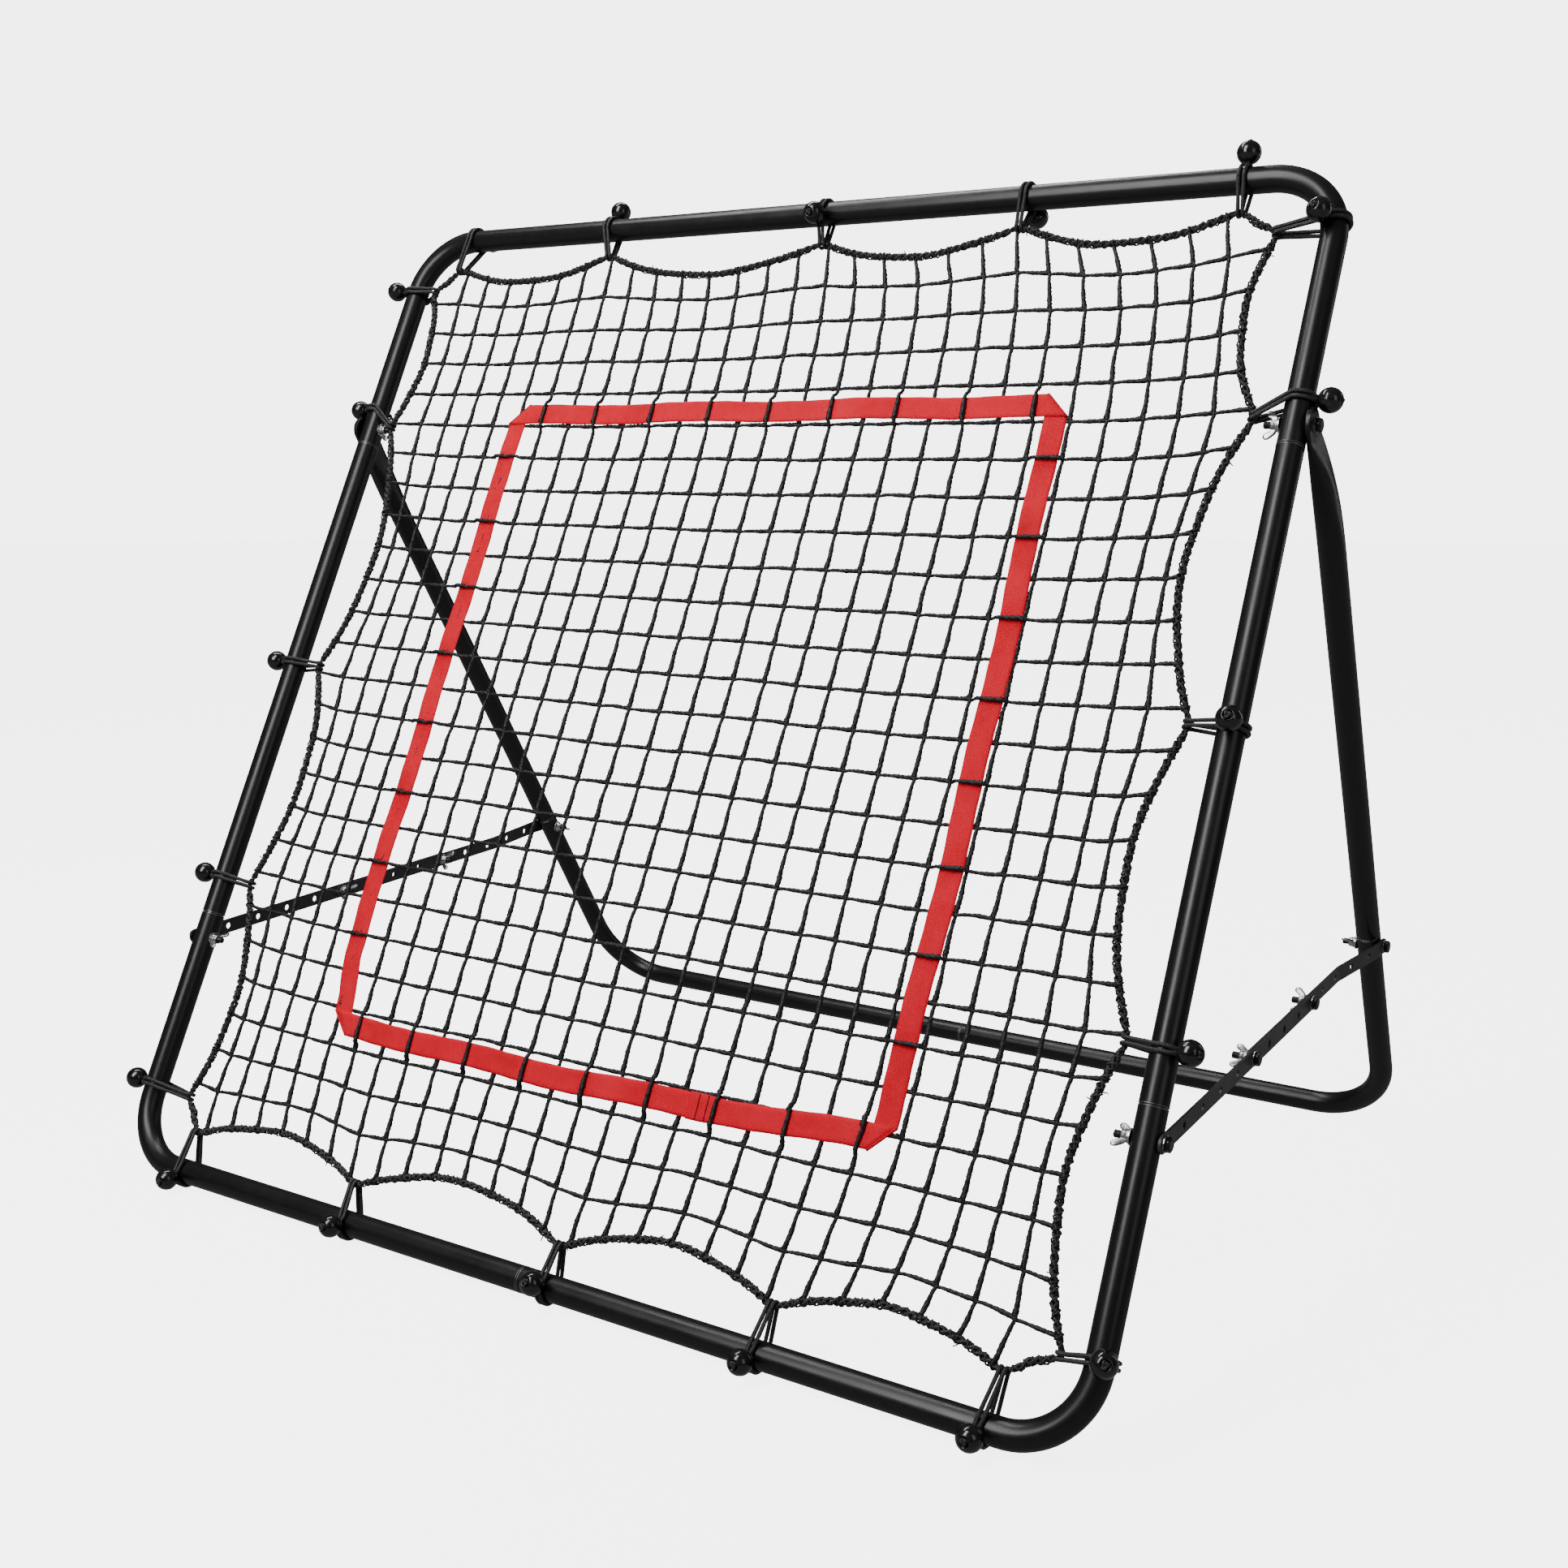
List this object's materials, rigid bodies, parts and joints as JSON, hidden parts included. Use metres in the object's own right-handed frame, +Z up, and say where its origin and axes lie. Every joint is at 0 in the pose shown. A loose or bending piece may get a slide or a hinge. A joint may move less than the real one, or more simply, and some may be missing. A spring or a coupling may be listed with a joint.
{
  "type": "pitching target net",
  "caption": "Freestanding tilted tube frame with a bungee-hung knotted net and a red strike-zone strap, on a hinged rear stand with perforated adjustable side braces.",
  "frame": {"origin": "On the floor, under the middle of the whole object's box", "axes": "+Z up; +X across the net to the right as seen from the thrower; the net faces -Y and leans back towards +Y"},
  "size_m": [1.0444, 0.8081, 0.9293],
  "materials": {
    "powder_black": "semi-gloss black powder coat",
    "dark_strap": "satin dark grey coat",
    "black_bolt": "black zinc",
    "bright_zinc": "bright zinc",
    "net_cord": "twisted polyethylene cord",
    "edge_rope": "braided rope",
    "red_webbing": "woven nylon webbing",
    "elastic_cord": "sheathed elastic cord",
    "ball_gloss": "glossy black moulded plastic"
  },
  "bodies": {
    "front_frame": {"frame_corner_top_left": "powder_black", "frame_corner_top_right": "powder_black", "frame_corner_bottom_left": "powder_black", "frame_corner_bottom_right": "powder_black", "frame_side_left": "powder_black", "frame_side_right": "powder_black", "net": "net_cord", "net_edge_rope": "edge_rope", "target_strap": "red_webbing", "bungee_balls_top": "ball_gloss", "bungee_balls_right": "ball_gloss", "bungee_balls_bottom": "ball_gloss", "bungee_balls_left": "ball_gloss", "bungee_cords_top": "elastic_cord", "bungee_cords_right": "elastic_cord", "bungee_cords_bottom": "elastic_cord", "bungee_cords_left": "elastic_cord", "pivot_bolts": "black_bolt", "pivot_washers": "bright_zinc", "front_brace_bolts": "black_bolt", "front_brace_washers": "bright_zinc"},
    "stand": {"stand_leg_left": "powder_black", "stand_leg_right": "powder_black", "stand_corner_left": "powder_black", "stand_corner_right": "powder_black", "rear_brace_bolts": "black_bolt", "rear_brace_washers": "bright_zinc"},
    "front_brace_left": {"front_strap_left": "dark_strap", "clamp_bolts_left": "black_bolt", "clamp_washers_left": "bright_zinc"},
    "rear_brace_left": {"rear_strap_left": "dark_strap", "clamp_studs_left": "black_bolt", "clamp_inner_washers_left": "bright_zinc"},
    "front_brace_right": {"front_strap_right": "dark_strap", "clamp_bolts_right": "black_bolt", "clamp_washers_right": "bright_zinc"},
    "rear_brace_right": {"rear_strap_right": "dark_strap", "clamp_studs_right": "black_bolt", "clamp_inner_washers_right": "bright_zinc"},
    "pivot_wing_nut_left_body": {"pivot_wing_nut_left": "bright_zinc"},
    "front_brace_wing_nut_left_body": {"front_brace_wing_nut_left": "bright_zinc"},
    "rear_brace_wing_nut_left_body": {"rear_brace_wing_nut_left": "bright_zinc"},
    "clamp_wing_nut_left_1_body": {"clamp_wing_nut_left_1": "bright_zinc"},
    "clamp_wing_nut_left_2_body": {"clamp_wing_nut_left_2": "bright_zinc"},
    "pivot_wing_nut_right_body": {"pivot_wing_nut_right": "bright_zinc"},
    "front_brace_wing_nut_right_body": {"front_brace_wing_nut_right": "bright_zinc"},
    "rear_brace_wing_nut_right_body": {"rear_brace_wing_nut_right": "bright_zinc"},
    "clamp_wing_nut_right_1_body": {"clamp_wing_nut_right_1": "bright_zinc"},
    "clamp_wing_nut_right_2_body": {"clamp_wing_nut_right_2": "bright_zinc"}
  },
  "joints": [
    {"name": "stand_fold", "type": "hinge", "parent": "front_frame", "child": "stand", "pos_m": [0, -0.01459, 0.69957], "axis": [1, 0, 0], "range_deg": [-8.9, 14.1]},
    {"name": "front_brace_hinge_left", "type": "hinge", "parent": "front_frame", "child": "front_brace_left", "pos_m": [-0.501, -0.27086, 0.20728], "axis": [1, 0, 0], "range_deg": [-4.5, 7.1]},
    {"name": "rear_brace_hinge_left", "type": "hinge", "parent": "stand", "child": "rear_brace_left", "pos_m": [-0.51142, 0.26794, 0.22187], "axis": [1, 0, 0], "range_deg": [-7.1, 4.5]},
    {"name": "front_brace_hinge_right", "type": "hinge", "parent": "front_frame", "child": "front_brace_right", "pos_m": [0.501, -0.27086, 0.20728], "axis": [1, 0, 0], "range_deg": [-4.5, 7.1]},
    {"name": "rear_brace_hinge_right", "type": "hinge", "parent": "stand", "child": "rear_brace_right", "pos_m": [0.51142, 0.26794, 0.22187], "axis": [1, 0, 0], "range_deg": [-7.1, 4.5]},
    {"name": "pivot_wing_nut_left_spin", "type": "hinge", "parent": "front_frame", "child": "pivot_wing_nut_left_body", "pos_m": [-0.473, -0.01459, 0.69957], "axis": [1, 0, 0], "continuous": true},
    {"name": "front_brace_wing_nut_left_spin", "type": "hinge", "parent": "front_frame", "child": "front_brace_wing_nut_left_body", "pos_m": [-0.473, -0.27086, 0.20728], "axis": [1, 0, 0], "continuous": true},
    {"name": "rear_brace_wing_nut_left_spin", "type": "hinge", "parent": "stand", "child": "rear_brace_wing_nut_left_body", "pos_m": [-0.48307, 0.26794, 0.22187], "axis": [1, 0, 0], "continuous": true},
    {"name": "clamp_wing_nut_left_1_spin", "type": "hinge", "parent": "rear_brace_left", "child": "clamp_wing_nut_left_1_body", "pos_m": [-0.493, -0.07843, 0.21249], "axis": [1, 0, 0], "continuous": true},
    {"name": "clamp_wing_nut_left_2_spin", "type": "hinge", "parent": "rear_brace_left", "child": "clamp_wing_nut_left_2_body", "pos_m": [-0.493, 0.07551, 0.21666], "axis": [1, 0, 0], "continuous": true},
    {"name": "pivot_wing_nut_right_spin", "type": "hinge", "parent": "front_frame", "child": "pivot_wing_nut_right_body", "pos_m": [0.473, -0.01459, 0.69957], "axis": [1, 0, 0], "continuous": true},
    {"name": "front_brace_wing_nut_right_spin", "type": "hinge", "parent": "front_frame", "child": "front_brace_wing_nut_right_body", "pos_m": [0.473, -0.27086, 0.20728], "axis": [1, 0, 0], "continuous": true},
    {"name": "rear_brace_wing_nut_right_spin", "type": "hinge", "parent": "stand", "child": "rear_brace_wing_nut_right_body", "pos_m": [0.48307, 0.26794, 0.22187], "axis": [1, 0, 0], "continuous": true},
    {"name": "clamp_wing_nut_right_1_spin", "type": "hinge", "parent": "rear_brace_right", "child": "clamp_wing_nut_right_1_body", "pos_m": [0.493, -0.07843, 0.21249], "axis": [1, 0, 0], "continuous": true},
    {"name": "clamp_wing_nut_right_2_spin", "type": "hinge", "parent": "rear_brace_right", "child": "clamp_wing_nut_right_2_body", "pos_m": [0.493, 0.07551, 0.21666], "axis": [1, 0, 0], "continuous": true}
  ],
  "couplings": [
    {"joint": "front_brace_hinge_left", "follows": "stand_fold", "ratio": 0.5},
    {"joint": "rear_brace_hinge_left", "follows": "stand_fold", "ratio": -0.5},
    {"joint": "front_brace_hinge_right", "follows": "stand_fold", "ratio": 0.5},
    {"joint": "rear_brace_hinge_right", "follows": "stand_fold", "ratio": -0.5}
  ]
}
